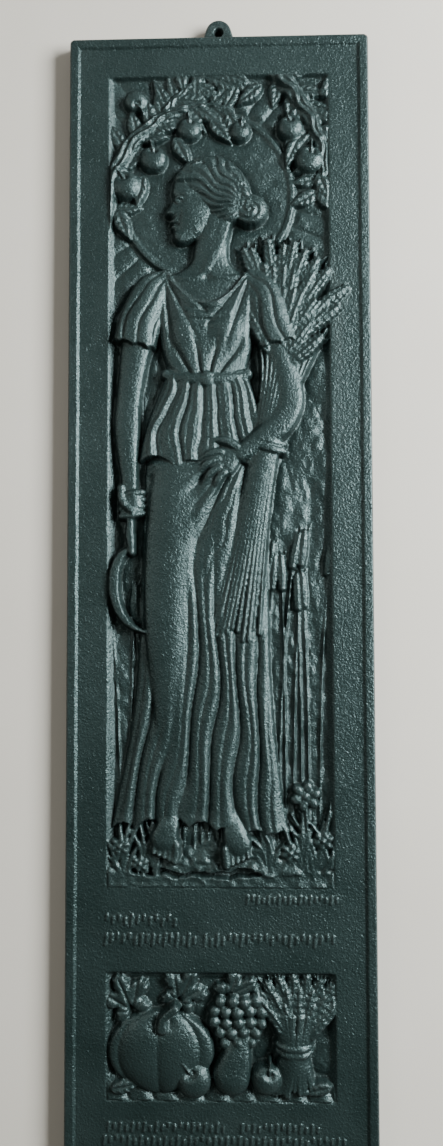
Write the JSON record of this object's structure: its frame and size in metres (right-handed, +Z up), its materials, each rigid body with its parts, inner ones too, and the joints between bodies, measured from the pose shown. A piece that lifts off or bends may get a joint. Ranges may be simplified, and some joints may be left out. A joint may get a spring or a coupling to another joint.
{
  "type": "relief plaque",
  "caption": "Tall narrow cast-iron wall plaque with a raised rim, a hanging lug, and sunk fields with a harvest figure and fruit in relief.",
  "frame": {"origin": "on the flat back, at the middle of the slab's top edge, where the hanging lug joins it", "axes": "+Z up along the plaque's length, +Y out of the back into the wall, so the relief faces -Y; +X to the viewer's right"},
  "size_m": [0.2, 0.0161, 0.7528],
  "materials": {
    "black_iron": "satin black paint over cast iron, worn a little at the edges"
  },
  "bodies": {
    "root": {"plaque": "black_iron"}
  },
  "joints": []
}
